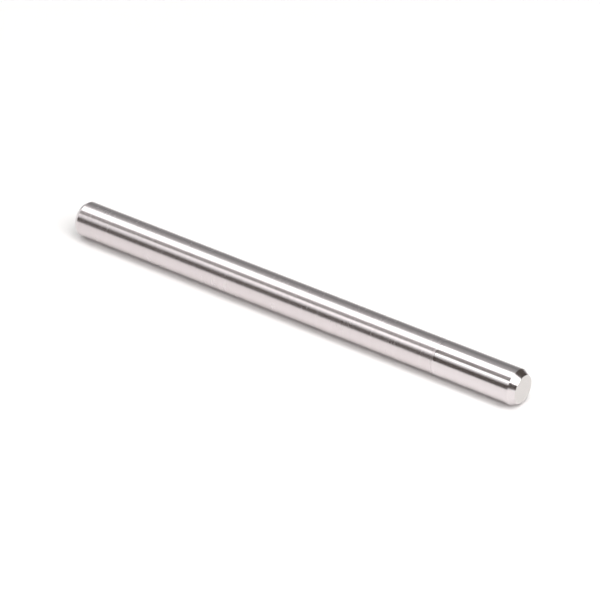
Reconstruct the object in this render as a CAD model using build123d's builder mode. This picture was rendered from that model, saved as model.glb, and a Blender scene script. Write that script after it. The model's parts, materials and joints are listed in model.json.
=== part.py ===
from build123d import *

import os
from math import radians, tan

# A pulley pin: one straight round steel rod, turned and then ground on its outside.
# A pulley runs on its long journal, and its short seat, slightly thicker, is pressed
# into the frame that carries the pulley. All sizes are in millimetres.
# The pin lies along X. The origin is on its axis, at the step where the seat begins,
# because that step lines up with the frame's face. +X points out through the seat,
# +Z is up.

# Driving dimensions
seat_diameter = 8.0
journal_relief = 0.06
seat_length = 20.0
journal_length = 95.0
seat_chamfer_length = 1.5
journal_chamfer_length = 0.75
chamfer_angle = 30.0

# Sizes that follow from them
journal_diameter = seat_diameter - journal_relief
seat_radius = seat_diameter / 2
journal_radius = journal_diameter / 2
seat_chamfer_depth = seat_chamfer_length * tan(radians(chamfer_angle))
journal_chamfer_depth = journal_chamfer_length * tan(radians(chamfer_angle))

os.makedirs("parts", exist_ok=True)

# The rod is its half section turned about X: the journal, the small step in diameter
# and the seat.
with BuildPart() as pulley_pin:
    with BuildSketch(Plane.XY) as half_section:
        with BuildLine() as outline:
            Polyline(
                (-journal_length, 0),
                (-journal_length, journal_radius),
                (0, journal_radius),
                (0, seat_radius),
                (seat_length, seat_radius),
                (seat_length, 0),
                close=True,
            )
        make_face()
    revolve(axis=Axis.X)

    # The long, shallow lead at the seat end guides the pin into its hole. It runs
    # further along the rod than it goes in, 30 degrees to the axis.
    seat_face = pulley_pin.faces().sort_by(Axis.X)[-1]
    seat_rim = seat_face.edges().filter_by(GeomType.CIRCLE)
    chamfer(
        seat_rim,
        length=seat_chamfer_depth,
        length2=seat_chamfer_length,
        reference=seat_face,
    )

    # The journal end has the same lead at half the size, for sliding the pulley on.
    journal_face = pulley_pin.faces().sort_by(Axis.X)[0]
    journal_rim = journal_face.edges().filter_by(GeomType.CIRCLE)
    chamfer(
        journal_rim,
        length=journal_chamfer_depth,
        length2=journal_chamfer_length,
        reference=journal_face,
    )

pulley_pin.part.label = "pulley_pin"
export_step(pulley_pin.part, "parts/pulley_pin.step")
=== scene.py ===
"""The looks of a pulley pin: a straight turned and ground steel rod, lying on a pale floor.

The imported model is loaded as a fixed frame, in metres. The pin lies along X with its origin
on its axis, at the small step between the journal, towards -X, and the press seat, towards +X.
Its skin is one closed surface of revolution, worked out from the frame's own sizes, with the
fine edges and finishes that a real ground pin has.
"""

from __future__ import annotations

import json
import logging
import math
from dataclasses import dataclass
from enum import Enum

import bpy
import numpy as np
from mathutils import Matrix, Vector

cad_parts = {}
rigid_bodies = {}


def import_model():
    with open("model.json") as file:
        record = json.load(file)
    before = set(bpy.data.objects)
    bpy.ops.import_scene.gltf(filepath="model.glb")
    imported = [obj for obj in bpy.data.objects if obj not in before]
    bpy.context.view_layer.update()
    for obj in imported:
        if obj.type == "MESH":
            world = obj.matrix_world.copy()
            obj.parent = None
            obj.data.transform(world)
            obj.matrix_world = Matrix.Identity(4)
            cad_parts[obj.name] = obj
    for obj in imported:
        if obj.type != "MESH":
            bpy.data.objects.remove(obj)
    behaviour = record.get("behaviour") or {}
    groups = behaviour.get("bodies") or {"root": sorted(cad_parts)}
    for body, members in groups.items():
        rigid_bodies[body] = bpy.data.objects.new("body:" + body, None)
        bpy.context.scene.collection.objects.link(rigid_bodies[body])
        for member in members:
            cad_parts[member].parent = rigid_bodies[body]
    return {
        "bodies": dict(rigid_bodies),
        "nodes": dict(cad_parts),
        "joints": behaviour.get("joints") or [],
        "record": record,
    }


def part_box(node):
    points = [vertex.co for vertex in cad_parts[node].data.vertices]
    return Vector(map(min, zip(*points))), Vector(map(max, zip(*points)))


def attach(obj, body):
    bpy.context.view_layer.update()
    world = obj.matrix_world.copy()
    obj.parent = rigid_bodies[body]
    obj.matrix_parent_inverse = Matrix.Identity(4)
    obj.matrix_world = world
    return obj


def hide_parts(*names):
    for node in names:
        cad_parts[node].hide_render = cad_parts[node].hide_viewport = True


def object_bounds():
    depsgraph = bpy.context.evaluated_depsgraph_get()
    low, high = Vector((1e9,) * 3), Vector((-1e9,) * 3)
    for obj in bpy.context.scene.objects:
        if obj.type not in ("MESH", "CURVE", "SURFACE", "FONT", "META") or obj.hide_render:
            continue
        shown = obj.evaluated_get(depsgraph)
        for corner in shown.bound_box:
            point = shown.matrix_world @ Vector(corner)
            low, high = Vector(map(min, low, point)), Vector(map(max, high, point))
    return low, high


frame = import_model()
cad_low, cad_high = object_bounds()

log = logging.getLogger("pulley_pin")

MM = 0.001
NODE = "pulley_pin"
GRAIN_MAP = "grain"
WHITE = "FFFFFF"
LEAD_ANGLE = math.radians(30.0)
# A tool mark fades in and out over this many of its own widths.
MARK_LENGTH = 24.0
# Most of a noise's values lie between these two.
MARKS_LOW = 0.3
MARKS_HIGH = 0.7
# A finish varies in patches of about this size.
PATCH_SIZE = 2.5 * MM
# Layers of ever finer noise in the marks and in the patches.
MARK_DETAIL = 2.0
PATCH_DETAIL = 3.0
# The sRGB curve is a straight line up to its toe, and a power above it.
SRGB_TOE = 0.04045
SRGB_SLOPE = 12.92
SRGB_OFFSET = 0.055
SRGB_POWER = 2.4
FULL_BYTE = 255.0


def linear_colour(code: str) -> tuple[float, float, float, float]:
    """Turns an sRGB hex colour into the linear one that the shaders use.

    Args:
        code: Six hex digits, two each for red, green and blue.

    Returns:
        Linear red, green and blue, with an alpha of one.
    """
    srgb = np.array([int(code[i : i + 2], 16) for i in (0, 2, 4)]) / FULL_BYTE
    low = srgb / SRGB_SLOPE
    high = ((srgb + SRGB_OFFSET) / (1 + SRGB_OFFSET)) ** SRGB_POWER
    red, green, blue = np.where(srgb <= SRGB_TOE, low, high)
    return float(red), float(green), float(blue), 1.0


def empty_tree(owner: bpy.types.Material | bpy.types.World) -> bpy.types.NodeTree:
    """Turns on the nodes of a material or a world and clears them.

    Args:
        owner: The material or the world.

    Returns:
        Its node tree, now empty.
    """
    owner.use_nodes = True
    owner.node_tree.nodes.clear()
    return owner.node_tree


def add_object(name: str, data: bpy.types.ID) -> bpy.types.Object:
    """Makes an object of a mesh, a lamp or a camera and puts it in the scene.

    Args:
        name: The object's name.
        data: The mesh, lamp or camera.

    Returns:
        The new object, at the origin, unturned and unscaled.
    """
    made = bpy.data.objects.new(name, data)
    bpy.context.scene.collection.objects.link(made)
    return made


def add_node(
    tree: bpy.types.NodeTree,
    kind: str,
    settings: dict[str | int, object] | None = None,
    links: dict[str | int, bpy.types.NodeSocket] | None = None,
) -> bpy.types.Node:
    """Adds one node to a tree, sets it and links its inputs.

    Args:
        tree: The node tree that gets the node.
        kind: The node's type name, such as ShaderNodeBump.
        settings: Values by input name or number, or by property name.
        links: The output sockets that feed the node, by input name or number.

    Returns:
        The new node.
    """
    node = tree.nodes.new(kind)
    for name, value in (settings or {}).items():
        if isinstance(name, int) or name in node.inputs:
            node.inputs[name].default_value = value
        else:
            setattr(node, name, value)
    for name, source in (links or {}).items():
        tree.links.new(source, node.inputs[name])
    return node


def lead_depth(length: float) -> float:
    """Returns how far a lead of that length goes in, at its angle to the axis."""
    return length * math.tan(LEAD_ANGLE)


class Lay(Enum):
    """Which way the tool marks of a finish run."""

    AROUND = "lines round the rod, one after another along it"
    RINGS = "rings about the axis on a flat end, one outside another"


class Zone(Enum):
    """The surfaces of the pin that are finished apart from each other, as material numbers."""

    JOURNAL = 0
    SEAT = 1
    LEAD = 2
    FACE = 3


@dataclass(frozen=True)
class SteelFinish:
    """Bare steel with one kind of tool mark.

    Attributes:
        name: The material's name, for what the steel is and how it was made.
        crests: The sRGB colour of the marks' bright crests.
        troughs: The sRGB colour of the marks' duller troughs.
        roughness: How far the finest marks spread a reflection.
        anisotropy: How much further they spread it across the marks than along them.
        lay: Which way the marks run.
        spacing: The distance between marks, in metres.
        depth: The height of the marks, in metres.
        mottle: How much the roughness varies from mark to mark and from place to place.
        step_change: What the roughness gains right at the step between journal and seat.
        step_reach: X at which that change has died out, with the step at zero, in metres.
    """

    name: str
    crests: str
    troughs: str
    roughness: float
    anisotropy: float
    lay: Lay
    spacing: float
    depth: float
    mottle: float
    step_change: float = 0.0
    step_reach: float = MM

    def grain(
        self, tree: bpy.types.NodeTree, place: bpy.types.NodeSocket
    ) -> bpy.types.NodeSocket:
        """Adds nodes that stretch space along the marks, so that noise in it looks like them.

        Args:
            tree: The material's node tree.
            place: The point on the surface, in metres.

        Returns:
            The point in units of mark spacing, with the marks' own direction pressed together.
        """
        across = 1.0 / self.spacing
        along = across / MARK_LENGTH
        if self.lay is Lay.AROUND:
            return add_node(
                tree, "ShaderNodeMapping", {"Scale": (across, along, along)}, {"Vector": place}
            ).outputs["Vector"]
        flat = add_node(
            tree, "ShaderNodeMapping", {"Scale": (0.0, across, across)}, {"Vector": place}
        ).outputs["Vector"]
        radius = add_node(
            tree, "ShaderNodeVectorMath", {"operation": "LENGTH"}, {0: flat}
        ).outputs["Value"]
        return add_node(tree, "ShaderNodeCombineXYZ", {}, {"X": radius}).outputs["Vector"]

    def dullness(
        self, tree: bpy.types.NodeTree, place: bpy.types.NodeSocket, marks: bpy.types.NodeSocket
    ) -> bpy.types.NodeSocket:
        """Adds nodes for the roughness.

        It follows the marks and a slower noise, which stands for the wheel's pressure. Near
        the step it changes in a straight line along the rod.

        Args:
            tree: The material's node tree.
            place: The point on the surface, in metres.
            marks: The height of the marks, where most values lie from MARKS_LOW to MARKS_HIGH.

        Returns:
            The roughness.
        """
        patches = add_node(
            tree,
            "ShaderNodeTexNoise",
            {"Scale": 1.0 / PATCH_SIZE, "Detail": PATCH_DETAIL},
            {"Vector": place},
        ).outputs["Fac"]
        both = add_node(
            tree, "ShaderNodeMath", {"operation": "ADD"}, {0: marks, 1: patches}
        ).outputs["Value"]
        roughness = add_node(
            tree,
            "ShaderNodeMapRange",
            {
                "From Min": 2 * MARKS_LOW,
                "From Max": 2 * MARKS_HIGH,
                "To Min": self.roughness - self.mottle,
                "To Max": self.roughness + self.mottle,
            },
            {"Value": both},
        ).outputs["Result"]
        if not self.step_change:
            return roughness
        along = add_node(tree, "ShaderNodeSeparateXYZ", {}, {"Vector": place}).outputs["X"]
        change = add_node(
            tree,
            "ShaderNodeMapRange",
            {"From Max": self.step_reach, "To Min": self.step_change, "To Max": 0.0},
            {"Value": along},
        ).outputs["Result"]
        return add_node(
            tree, "ShaderNodeMath", {"operation": "ADD"}, {0: roughness, 1: change}
        ).outputs["Value"]

    def material(self) -> bpy.types.Material:
        """Builds the finish as a material.

        The marks are noise that changes fast across them and slowly along them, so each one
        fades in and out as a real tool mark does. They tilt the surface through a bump, and
        carry the small change of colour between crest and trough.

        Returns:
            The new material.
        """
        material = bpy.data.materials.new(self.name)
        tree = empty_tree(material)
        place = add_node(tree, "ShaderNodeTexCoord").outputs["Object"]
        marks = add_node(
            tree,
            "ShaderNodeTexNoise",
            {"Scale": 1.0, "Detail": MARK_DETAIL},
            {"Vector": self.grain(tree, place)},
        ).outputs["Fac"]
        bump = add_node(
            tree, "ShaderNodeBump", {"Strength": 1.0, "Distance": self.depth}, {"Height": marks}
        ).outputs["Normal"]
        roughness = self.dullness(tree, place, marks)
        colour = add_node(tree, "ShaderNodeValToRGB", {}, {"Fac": marks})
        ramp = colour.color_ramp.elements
        ramp[0].position, ramp[0].color = MARKS_LOW, linear_colour(self.troughs)
        ramp[1].position, ramp[1].color = MARKS_HIGH, linear_colour(self.crests)
        tangent = add_node(
            tree, "ShaderNodeTangent", {"direction_type": "UV_MAP", "uv_map": GRAIN_MAP}
        ).outputs["Tangent"]
        steel = add_node(
            tree,
            "ShaderNodeBsdfPrincipled",
            {"Metallic": 1.0, "Anisotropic": self.anisotropy},
            {
                "Base Color": colour.outputs["Color"],
                "Roughness": roughness,
                "Normal": bump,
                "Tangent": tangent,
            },
        )
        add_node(tree, "ShaderNodeOutputMaterial", {}, {"Surface": steel.outputs["BSDF"]})
        return material


# Centreless-ground steel with a light polish. The marks run round the rod and spread a
# reflection along it, while its edges across the rod stay fairly crisp. Real marks are a few
# hundredths of a millimetre apart, and are drawn coarser here, so that they just show. The
# wheel is dressed off just before the step, so the last stretch is a little duller.
GROUND_JOURNAL = SteelFinish(
    name="centreless_ground_steel",
    crests="D6CFD0",
    troughs="D1CACB",
    roughness=0.27,
    anisotropy=0.6,
    lay=Lay.AROUND,
    spacing=0.25 * MM,
    depth=0.0001 * MM,
    mottle=0.006,
    step_change=0.015,
    step_reach=-0.8 * MM,
)
# The seat is ground again with a finer wheel, so its reflections are darker and crisper, and
# crispest at the step, where the wheel dwells.
FINE_GROUND_SEAT = SteelFinish(
    name="fine_ground_steel",
    crests="D8D2D3",
    troughs="D4CECF",
    roughness=0.215,
    anisotropy=0.6,
    lay=Lay.AROUND,
    spacing=0.2 * MM,
    depth=0.0002 * MM,
    mottle=0.01,
    step_change=-0.1,
    step_reach=1.5 * MM,
)
# The leads are turned on the lathe, with close even marks and a bright cut.
TURNED_LEAD = SteelFinish(
    name="turned_steel",
    crests="DDD7D8",
    troughs="D5CFD0",
    roughness=0.20,
    anisotropy=0.4,
    lay=Lay.AROUND,
    spacing=0.15 * MM,
    depth=0.0001 * MM,
    mottle=0.03,
)
# The ends are faced on the lathe: fine rings, and an even grey from every side.
FACED_END = SteelFinish(
    name="faced_steel",
    crests="D4D1CF",
    troughs="CDCAC8",
    roughness=0.32,
    anisotropy=0.3,
    lay=Lay.RINGS,
    spacing=0.2 * MM,
    depth=0.0001 * MM,
    mottle=0.04,
)

FINISHES = {
    Zone.JOURNAL: GROUND_JOURNAL,
    Zone.SEAT: FINE_GROUND_SEAT,
    Zone.LEAD: TURNED_LEAD,
    Zone.FACE: FACED_END,
}


@dataclass(frozen=True)
class Corner:
    """One corner of the pin's half section.

    Attributes:
        x: Place along the axis, in metres.
        r: Distance from the axis, in metres.
        zone: The finish of the run that ends at this corner.
    """

    x: float
    r: float
    zone: Zone


@dataclass
class PulleyPin:
    """The whole pin, as one closed surface of revolution.

    Attributes:
        seat_radius: Radius of the press seat.
        journal_radius: Radius of the journal, where the pulley turns.
        seat_face: X of the seat's end face.
        seat_lead: X at which the seat's lead begins.
        seat_tip_radius: Radius of the seat's end face.
        journal_face: X of the journal's end face.
        journal_lead: X at which the journal's lead begins.
        journal_tip_radius: Radius of the journal's end face.
        step: X of the step between journal and seat.
        blend: Length over which the seat falls to the journal.
        edge: Radius that every edge is broken to.
        hold: Distance from a broken edge to the ring of points that keeps the next run flat.
        sides: Number of points round the pin.
        edge_spans: Number of spans in each broken edge.
    """

    seat_radius: float
    journal_radius: float
    seat_face: float
    seat_lead: float
    seat_tip_radius: float
    journal_face: float
    journal_lead: float
    journal_tip_radius: float
    step: float
    blend: float = 0.2 * MM
    edge: float = 0.06 * MM
    hold: float = 0.03 * MM
    sides: int = 256
    edge_spans: int = 5

    @classmethod
    def from_frame(cls, packed: dict) -> PulleyPin:
        """Works the pin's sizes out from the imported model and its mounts.

        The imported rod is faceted, so its box is a hair narrower one way than the other. The
        narrower half is taken as the seat's radius, and nothing stands proud of the box.


        Returns:
            The pin, with its sizes in metres.
        """
        low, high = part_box(NODE)
        mounts = {mount["name"]: mount for mount in packed["record"]["mounts"]}
        seat, shaft = mounts["seat"], mounts["shaft"]
        seat_radius = min(high[1] - low[1], high[2] - low[2]) / 2
        journal_radius = seat_radius - (seat["dims"]["r_mm"] - shaft["dims"]["r_mm"]) * MM
        seat_wall = seat["dims"]["length_mm"] * MM
        journal_wall = shaft["dims"]["length_mm"] * MM - seat_wall
        step = 0.0
        return cls(
            seat_radius=seat_radius,
            journal_radius=journal_radius,
            seat_face=high[0],
            seat_lead=step + seat_wall,
            seat_tip_radius=seat_radius - lead_depth(high[0] - step - seat_wall),
            journal_face=low[0],
            journal_lead=step - journal_wall,
            journal_tip_radius=journal_radius - lead_depth(step - journal_wall - low[0]),
            step=step,
        )

    def corners(self) -> list[Corner]:
        """Lists the half section's corners.

        Returns:
            The corners, from the seat's end round to the journal's end.
        """
        return [
            Corner(self.seat_face, 0.0, Zone.FACE),
            Corner(self.seat_face, self.seat_tip_radius, Zone.FACE),
            Corner(self.seat_lead, self.seat_radius, Zone.LEAD),
            Corner(self.step + self.blend, self.seat_radius, Zone.SEAT),
            Corner(self.step, self.journal_radius, Zone.SEAT),
            Corner(self.journal_lead, self.journal_radius, Zone.JOURNAL),
            Corner(self.journal_face, self.journal_tip_radius, Zone.LEAD),
            Corner(self.journal_face, 0.0, Zone.FACE),
        ]

    def section(self) -> tuple[np.ndarray, np.ndarray]:
        """Carries a small round through every corner of the half section.

        A round of radius e is tangent to both runs at e times the tangent of half the turn
        from the corner. Its points lie on the quadratic curve through the two tangent points
        with the corner as control point. A ring close behind each tangent point keeps the
        long runs flat.

        Returns:
            The points as rows of x and r, and the zone number of each span between them.
        """
        corners = self.corners()
        points = np.array([(corner.x, corner.r) for corner in corners])
        zones = np.array([corner.zone.value for corner in corners])
        runs = np.diff(points, axis=0)
        ways = runs / np.linalg.norm(runs, axis=1)[:, None]
        turns = np.arccos(np.clip((ways[:-1] * ways[1:]).sum(axis=1), -1.0, 1.0))
        reach = (self.edge * np.tan(turns / 2))[:, None]
        inner = points[1:-1]
        starts = inner - ways[:-1] * reach
        ends = inner + ways[1:] * reach
        t = np.linspace(0.0, 1.0, self.edge_spans + 1)[None, :, None]
        curves = (
            (1 - t) ** 2 * starts[:, None] + 2 * t * (1 - t) * inner[:, None] + t**2 * ends[:, None]
        )
        before = starts - ways[:-1] * self.hold
        after = ends + ways[1:] * self.hold
        blocks = np.concatenate([before[:, None], curves, after[:, None]], axis=1)
        rows = np.concatenate([points[:1], blocks.reshape(-1, 2), points[-1:]])
        # As many spans follow a block's first point as the block has points. The first half
        # of them belongs to the run before the corner, and the rest to the run after it.
        corner_spans = blocks.shape[1]
        half = corner_spans // 2
        before_zones = zones[1:-1, None].repeat(half, axis=1)
        after_zones = zones[2:, None].repeat(corner_spans - half, axis=1)
        spans = np.concatenate([before_zones, after_zones], axis=1)
        return rows, np.concatenate([zones[1:2], spans.reshape(-1)])

    def skin(self, rows: np.ndarray) -> tuple[np.ndarray, np.ndarray, np.ndarray]:
        """Turns the half section about X and closes both ends on the axis.

        A point of the surface is (x, r sin a, r cos a), with x and r from the section and a the
        angle round the axis.

        Args:
            rows: The section's points, as rows of x and r.

        Returns:
            The points, the four-sided faces between rings, and the triangles at both ends.
        """
        angles = np.linspace(0.0, 2 * math.pi, self.sides, endpoint=False)
        rings = rows[1:-1]
        x = np.broadcast_to(rings[:, :1], (len(rings), self.sides))
        y = rings[:, 1:] * np.sin(angles)
        z = rings[:, 1:] * np.cos(angles)
        walls = np.stack([x, y, z], axis=-1).reshape(-1, 3)
        poles = np.array([[rows[0, 0], 0.0, 0.0], [rows[-1, 0], 0.0, 0.0]])
        here = np.arange(self.sides)
        there = (here + 1) % self.sides
        first = (np.arange(len(rings) - 1) * self.sides)[:, None]
        second = first + self.sides
        quads = np.stack([first + here, first + there, second + there, second + here], axis=-1)
        last = (len(rings) - 1) * self.sides
        seat_end = np.stack([np.full(self.sides, len(walls)), there, here], axis=-1)
        journal_end = np.stack(
            [np.full(self.sides, len(walls) + 1), last + here, last + there], axis=-1
        )
        return (
            np.concatenate([walls, poles]),
            quads.reshape(-1, 4),
            np.concatenate([seat_end, journal_end]),
        )

    def grain_map(self, rows: np.ndarray) -> np.ndarray:
        """Works out the map whose first direction runs across the tool marks.

        U is the distance along the section as a share of its length, so it runs along the rod
        and straight out or in over the ends. V is the share of a turn round the pin.

        Args:
            rows: The section's points, as rows of x and r.

        Returns:
            U and V for each face corner, in the order of skin's faces.
        """
        lengths = np.linalg.norm(np.diff(rows, axis=0), axis=1)
        along = np.concatenate([[0.0], np.cumsum(lengths)]) / lengths.sum()
        turn = np.stack([np.arange(self.sides), np.arange(self.sides) + 1], axis=-1) / self.sides
        middle = turn.mean(axis=1)
        ring = along[1:-1]
        u = np.stack([ring[:-1], ring[:-1], ring[1:], ring[1:]], axis=-1)[:, None]
        u = u.repeat(self.sides, axis=1)
        v = np.broadcast_to(turn[:, [0, 1, 1, 0]], u.shape)
        walls = np.stack([u, v], axis=-1).reshape(-1, 2)
        seat_u = np.tile([along[0], ring[0], ring[0]], (self.sides, 1))
        seat_v = np.stack([middle, turn[:, 1], turn[:, 0]], axis=-1)
        journal_u = np.tile([along[-1], ring[-1], ring[-1]], (self.sides, 1))
        journal_v = np.stack([middle, turn[:, 0], turn[:, 1]], axis=-1)
        ends_u = np.concatenate([seat_u, journal_u])
        ends_v = np.concatenate([seat_v, journal_v])
        return np.concatenate([walls, np.stack([ends_u, ends_v], axis=-1).reshape(-1, 2)])

    def build(self) -> bpy.types.Object:
        """Builds the pin's skin, dresses each zone in its finish and puts it on its body.

        Returns:
            The finished piece.
        """
        rows, spans = self.section()
        points, quads, ends = self.skin(rows)
        mesh = bpy.data.meshes.new("pin_skin")
        mesh.from_pydata(points.tolist(), [], [*quads.tolist(), *ends.tolist()])
        grain = mesh.uv_layers.new(name=GRAIN_MAP)
        grain.data.foreach_set("uv", self.grain_map(rows).reshape(-1))
        walls = spans[1:-1].repeat(self.sides)
        zones = np.concatenate([walls, np.full(len(ends), Zone.FACE.value)])
        for zone in Zone:
            mesh.materials.append(FINISHES[zone].material())
        mesh.polygons.foreach_set("material_index", zones)
        mesh.shade_smooth()
        mesh.update()
        piece = add_object("pin_skin", mesh)
        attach(piece, "root")
        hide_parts(NODE)
        log.info("%s: %d points, %d faces", piece.name, len(mesh.vertices), len(mesh.polygons))
        return piece


@dataclass(frozen=True)
class Softbox:
    """A rectangular lamp that faces straight down from the studio's ceiling.

    Attributes:
        name: The lamp's name.
        x: Its two ends along X, in units of the studio's height.
        y: Its two ends along Y, in units of the studio's height.
        glow: How bright its face is, where 1 is white.
        mirrored: Whether steel shows it. One that hangs over a black card is hidden from it.
    """

    name: str
    x: tuple[float, float]
    y: tuple[float, float]
    glow: float
    mirrored: bool = True

    def build(self, height: float, level: float) -> bpy.types.Object:
        """Builds the lamp.

        A lamp that sends out P watts from an area A has a face of brightness P / (pi A).

        Args:
            height: The studio's height, in metres.
            level: Height of the floor, in metres.

        Returns:
            The lamp, which the camera does not see.
        """
        wide = (self.x[1] - self.x[0]) * height
        deep = (self.y[1] - self.y[0]) * height
        data = bpy.data.lights.new(self.name, "AREA")
        data.shape = "RECTANGLE"
        data.size = wide
        data.size_y = deep
        data.energy = self.glow * math.pi * wide * deep
        lamp = add_object(self.name, data)
        lamp.location = (sum(self.x) / 2 * height, sum(self.y) / 2 * height, level + height)
        lamp.visible_camera = False
        lamp.visible_glossy = self.mirrored
        return lamp


@dataclass(frozen=True)
class Card:
    """A flat four-sided card of the studio, which only shows in reflections.

    Two of its sides run along X.

    Attributes:
        name: The card's name.
        x: Its two ends along X, in units of the studio's height.
        first: Y and Z of the first side that runs along X, in the same units.
        second: Y and Z of the second one.
        glow: Its brightness at the first side and at the second.
        tint: Its sRGB colour.
    """

    name: str
    x: tuple[float, float]
    first: tuple[float, float]
    second: tuple[float, float]
    glow: tuple[float, float]
    tint: str = WHITE

    def build(self, height: float, level: float) -> bpy.types.Object:
        """Builds the card.

        Args:
            height: The studio's height, in metres.
            level: Height of the floor, in metres.

        Returns:
            The card, which the camera, diffuse rays and shadow rays pass by.
        """
        start, end = self.x
        corners = np.array(
            [
                (start, *self.first),
                (end, *self.first),
                (end, *self.second),
                (start, *self.second),
            ]
        )
        points = corners * height + (0.0, 0.0, level)
        mesh = bpy.data.meshes.new(self.name)
        mesh.from_pydata(points.tolist(), [], [(0, 1, 2, 3)])
        fade = mesh.attributes.new("fade", "FLOAT", "POINT")
        fade.data.foreach_set("value", np.repeat(self.glow, 2))
        mesh.update()
        material = bpy.data.materials.new(self.name)
        tree = empty_tree(material)
        value = add_node(tree, "ShaderNodeAttribute", {"attribute_name": "fade"}).outputs["Fac"]
        glow = add_node(
            tree, "ShaderNodeEmission", {"Color": linear_colour(self.tint)}, {"Strength": value}
        ).outputs["Emission"]
        add_node(tree, "ShaderNodeOutputMaterial", {}, {"Surface": glow})
        mesh.materials.append(material)
        piece = add_object(self.name, mesh)
        piece.visible_camera = False
        piece.visible_diffuse = False
        piece.visible_shadow = False
        return piece


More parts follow.
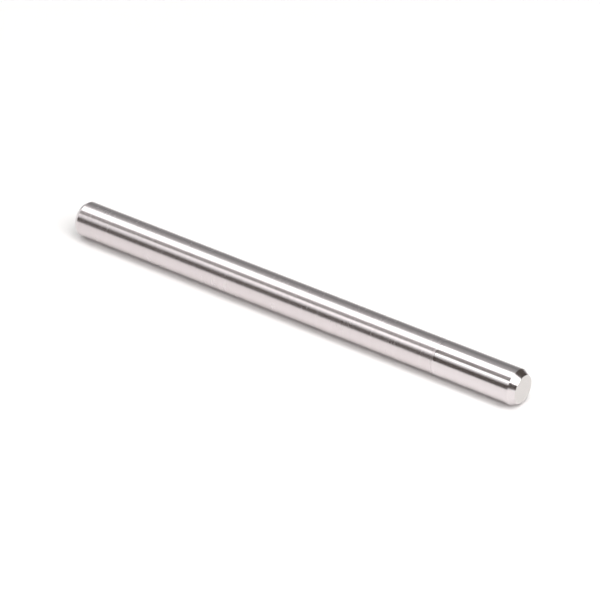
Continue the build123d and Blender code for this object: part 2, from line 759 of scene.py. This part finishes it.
@dataclass
class Studio:
    """A pale floor under soft light, with the cards that give steel its dark bands.

    Places without a unit are in units of the studio's height, from a point of the floor right
    under the step.

    Attributes:
        height: Height of the softboxes over the floor, in metres.
        reach: Half the width of the floor, in metres.
        paper: The floor's sRGB colour.
        middle: The point that the floor is lit for, in metres.
        lift: The distances from it where the floor's own glow begins and is full, in metres.
        fill: Brightness of the plain light from all round.
        lamps_left: X at which the lamps over the journal begin.
        lamps_middle: X at which they end, and the lamps over the seat begin.
        lamps_right: X at which those end.
        lamps_back: Y at which the overhead lamps end, behind the pin.
        top_back: Y at which the brightest lamp over the seat begins.
        top_front: Y at which it ends.
        seat_front: Y at which the lamps over the seat end, and a black card begins.
        flag_right: X at which that card ends.
        cards_side: X at which the side cards end, to the left and to the right.
        cards_meet: X at which the back cards of the two sides meet.
        strip_back: Y at which the dim strip over the journal begins.
        strip_front: Y at which it ends.
        shade_right: X at which the dim card left of the front lamp ends.
        fade_back: Y at which a card takes over from the front lamp over the journal.
        front: Y of the front cards.
        back: Y at which the back cards meet the floor.
        ceiling: Z of the lamps.
        under: Z of a card right under the lamps.
        over_floor: Z of the card that lies over the floor.
        flag_glow: Brightness of a black card, which still gets some light.
        flag_tint: The sRGB colour of that light, a little warm.
        strip_tint: The sRGB colour of the dim strip, half as warm.
    """

    height: float = 0.7
    reach: float = 6.0
    paper: str = "F9F7F6"
    middle: tuple[float, float, float] = (-0.0375, 0.0, 0.0)
    lift: tuple[float, float] = (0.05, 2.0)
    fill: float = 0.042
    lamps_left: float = -2.6
    lamps_middle: float = 0.2
    lamps_right: float = 1.6
    lamps_back: float = 0.43
    top_back: float = 0.05
    top_front: float = -0.30
    seat_front: float = -0.82
    flag_right: float = 3.0
    cards_side: float = 4.0
    cards_meet: float = -0.1
    strip_back: float = -0.23
    strip_front: float = -0.772
    shade_right: float = -0.92
    fade_back: float = -1.1
    front: float = -1.8
    back: float = 1.9
    ceiling: float = 1.0
    under: float = 0.985
    over_floor: float = 0.002
    flag_glow: float = 0.1
    flag_tint: str = "FFEEE4"
    strip_tint: str = "FFF8F4"

    def softboxes(self) -> list[Softbox]:
        """Lists the lamps.

        Five of them show in the steel. The other four light the floor alone, and so set how
        dark each part of the shadow is.

        Returns:
            The lamps, those that show in the steel first.
        """
        journal_side = (self.lamps_left, self.lamps_middle)
        seat_side = (self.lamps_middle, self.lamps_right)
        return [
            Softbox(
                name="overhead_left_softbox",
                x=journal_side,
                y=(self.strip_back, self.lamps_back),
                glow=1.4,
            ),
            Softbox(
                name="overhead_right_softbox",
                x=seat_side,
                y=(self.top_back, self.lamps_back),
                glow=1.1,
            ),
            Softbox(
                name="top_right_softbox",
                x=seat_side,
                y=(self.top_front, self.top_back),
                glow=6.0,
            ),
            Softbox(
                name="front_right_softbox",
                x=seat_side,
                y=(self.seat_front, self.top_front),
                glow=3.4,
            ),
            Softbox(
                name="front_left_softbox",
                x=(self.shade_right, self.lamps_middle),
                y=(-1.4, self.strip_front),
                glow=1.55,
            ),
            Softbox(
                name="top_softbox",
                x=(-1.2, 1.2),
                y=(-0.27, -0.07),
                glow=1.25,
                mirrored=False,
            ),
            Softbox(
                name="strip_softbox",
                x=journal_side,
                y=(self.strip_front, -0.5),
                glow=0.6,
                mirrored=False,
            ),
            Softbox(
                name="front_softbox",
                x=(self.lamps_middle, self.flag_right),
                y=(self.front, self.seat_front),
                glow=1.8,
                mirrored=False,
            ),
            Softbox(
                name="back_softbox",
                x=(-2.0, 0.6),
                y=(0.5, 1.3),
                glow=0.3,
                mirrored=False,
            ),
        ]

    def cards(self) -> list[Card]:
        """Lists the cards.

        A real ceiling has gaps between its softboxes, and black cards stand behind and before
        it. Each card is one such dark or dim part, as bright as its reflection in the photo.

        Returns:
            The cards.
        """
        left_side = (-self.cards_side, self.cards_meet)
        right_side = (self.cards_meet, self.cards_side)
        black = (self.flag_glow, self.flag_glow)
        front_top = (self.front, self.under)
        floor_back = (self.back, 0.0)
        # The back card of the left side is darkest at this height, and lighter up and down.
        bend = (1.16, 0.495)
        return [
            Card(
                name="gap_strip",
                x=(self.lamps_left, self.lamps_middle),
                first=(self.strip_back, self.under),
                second=(self.strip_front, self.under),
                glow=(0.29, 0.29),
                tint=self.strip_tint,
            ),
            Card(
                name="left_shade",
                x=(self.lamps_left, self.shade_right),
                first=(self.strip_front, self.under),
                second=front_top,
                glow=(0.8, 0.68),
            ),
            Card(
                name="front_left_fade",
                x=(self.shade_right, self.lamps_middle),
                first=(self.fade_back, self.under),
                second=front_top,
                glow=(1.5, 0.85),
            ),
            Card(
                name="front_right_flag",
                x=(self.lamps_middle, self.flag_right),
                first=(self.seat_front, self.under),
                second=front_top,
                glow=(0.08, 0.08),
                tint=self.flag_tint,
            ),
            Card(
                name="front_left_flag",
                x=(-self.cards_side, 0.0),
                first=(self.front, self.ceiling),
                second=(self.front, 0.015),
                glow=black,
                tint=self.flag_tint,
            ),
            Card(
                name="front_right_wall",
                x=(0.0, self.cards_side),
                first=(self.front, self.ceiling),
                second=(self.front, 0.33),
                glow=black,
                tint=self.flag_tint,
            ),
            Card(
                name="back_left_top",
                x=left_side,
                first=(0.39, self.ceiling),
                second=bend,
                glow=(0.58, 0.23),
            ),
            Card(
                name="back_left_foot",
                x=left_side,
                first=bend,
                second=floor_back,
                glow=(0.23, 0.52),
            ),
            Card(
                name="back_right_flag",
                x=right_side,
                first=(0.33, self.under),
                second=floor_back,
                glow=black,
                tint=self.flag_tint,
            ),
            Card(
                name="back_floor_card",
                x=(-self.cards_side, self.cards_side),
                first=(0.04, self.over_floor),
                second=(self.back, self.over_floor),
                glow=(0.6, 0.52),
            ),
        ]

    def seen(self, tree: bpy.types.NodeTree) -> bpy.types.NodeSocket:
        """Adds nodes that tell the eye's rays from the rest.

        Args:
            tree: The node tree that gets them.

        Returns:
            1 for a ray from the eye or off gloss or glass, and 0 for any other.
        """
        path = add_node(tree, "ShaderNodeLightPath").outputs
        gloss = add_node(
            tree,
            "ShaderNodeMath",
            {"operation": "MAXIMUM"},
            {0: path["Is Camera Ray"], 1: path["Is Glossy Ray"]},
        ).outputs["Value"]
        return add_node(
            tree,
            "ShaderNodeMath",
            {"operation": "MAXIMUM"},
            {0: gloss, 1: path["Is Transmission Ray"]},
        ).outputs["Value"]

    def floor(self, level: float) -> bpy.types.Object:
        """Builds the floor, which keeps the pin's shadow.

        Its diffuse part takes the light and the shadow. Away from the pin, where the lamps
        reach less, a glow that only the eye and rays off gloss and glass see takes over in a
        straight line with distance, so that the floor runs on in an even white.

        Args:
            level: Height of the floor, in metres.

        Returns:
            The floor.
        """
        mesh = bpy.data.meshes.new("floor")
        square = np.array([(-1, -1), (1, -1), (1, 1), (-1, 1)]) * self.reach
        points = np.column_stack([square, np.full(len(square), level)])
        mesh.from_pydata(points.tolist(), [], [(0, 1, 2, 3)])
        material = bpy.data.materials.new("matt_paper")
        tree = empty_tree(material)
        colour = linear_colour(self.paper)
        paper = add_node(tree, "ShaderNodeBsdfDiffuse", {"Color": colour}).outputs["BSDF"]
        place = add_node(tree, "ShaderNodeTexCoord").outputs["Object"]
        distance = add_node(
            tree, "ShaderNodeVectorMath", {"operation": "DISTANCE", 1: self.middle}, {0: place}
        ).outputs["Value"]
        start, end = self.lift
        lift = add_node(
            tree,
            "ShaderNodeMapRange",
            {"From Min": start, "From Max": end},
            {"Value": distance, "To Max": self.seen(tree)},
        ).outputs["Result"]
        glow = add_node(
            tree, "ShaderNodeEmission", {"Color": colour}, {"Strength": lift}
        ).outputs["Emission"]
        both = add_node(tree, "ShaderNodeAddShader", {}, {0: paper, 1: glow}).outputs["Shader"]
        add_node(tree, "ShaderNodeOutputMaterial", {}, {"Surface": both})
        mesh.materials.append(material)
        piece = add_object("floor", mesh)
        return piece

    def surroundings(self) -> None:
        """Makes the world white to the eye and in gloss, and a plain fill light else."""
        world = bpy.data.worlds.new("studio")
        bpy.context.scene.world = world
        tree = empty_tree(world)
        level = add_node(
            tree,
            "ShaderNodeMapRange",
            {"To Min": self.fill, "To Max": 1.0},
            {"Value": self.seen(tree)},
        ).outputs["Result"]
        sky = add_node(
            tree, "ShaderNodeBackground", {"Color": linear_colour(WHITE)}, {"Strength": level}
        ).outputs["Background"]
        add_node(tree, "ShaderNodeOutputWorld", {}, {"Surface": sky})

    def build(self, level: float) -> None:
        """Builds the floor, the lamps, the cards and the surroundings.

        Args:
            level: Height of the floor, in metres.
        """
        self.floor(level)
        for part in (*self.softboxes(), *self.cards()):
            part.build(self.height, level)
            log.info("studio: %s", part.name)
        self.surroundings()


@dataclass
class PhotoCamera:
    """The camera at the photograph's viewing angle.

    Attributes:
        azimuth: Which way it looks from above, in degrees from +Y towards -X.
        elevation: How far above the pin it stands, in degrees.
        distance: Distance to the middle of the pin, in metres.
        focal_pixels: Focal length, in pixels of the picture.
        aside: How far it stands to the right of where it would be for a centred pin, in metres.
        upward: How far it stands above that, in its own view, in metres.
        picture_pixels: Width of the picture, in pixels.
        sensor: Width of the sensor, in millimetres.
        near: Distance at which it begins to see, in metres.
        far: Distance at which it no longer sees, in metres.
    """

    azimuth: float = 36.096
    elevation: float = 32.445
    distance: float = 0.8
    focal_pixels: float = 3769.1
    aside: float = 0.786 * MM
    upward: float = 0.129 * MM
    picture_pixels: float = 600.0
    sensor: float = 36.0
    near: float = 0.01
    far: float = 50.0

    def build(self, middle: Vector) -> bpy.types.Object:
        """Sets the camera out from the pin's middle.

        Args:
            middle: The middle of the pin's box.

        Returns:
            The camera, set as the scene's own.
        """
        azimuth = math.radians(self.azimuth)
        elevation = math.radians(self.elevation)
        level = math.cos(elevation)
        back = Vector((math.sin(azimuth) * level, -math.cos(azimuth) * level, math.sin(elevation)))
        right = Vector((math.cos(azimuth), math.sin(azimuth), 0.0))
        up = back.cross(right)
        data = bpy.data.cameras.new("photo_camera")
        data.sensor_width = self.sensor
        data.lens = self.focal_pixels / self.picture_pixels * self.sensor
        data.clip_start = self.near
        data.clip_end = self.far
        camera = add_object("photo_camera", data)
        place = middle + back * self.distance + right * self.aside + up * self.upward
        turn = Matrix((right, up, back)).transposed().to_4x4()
        camera.matrix_world = Matrix.Translation(place) @ turn
        bpy.context.scene.camera = camera
        return camera


def main() -> None:
    """Builds the pin, the studio and the camera in order."""
    logging.basicConfig(level=logging.INFO, format="%(name)s: %(message)s")
    bpy.context.scene.view_settings.view_transform = "Standard"
    PulleyPin.from_frame(frame).build()
    Studio().build(cad_low[2])
    PhotoCamera().build((Vector(cad_low) + Vector(cad_high)) / 2)


if __name__ == "__main__":
    main()
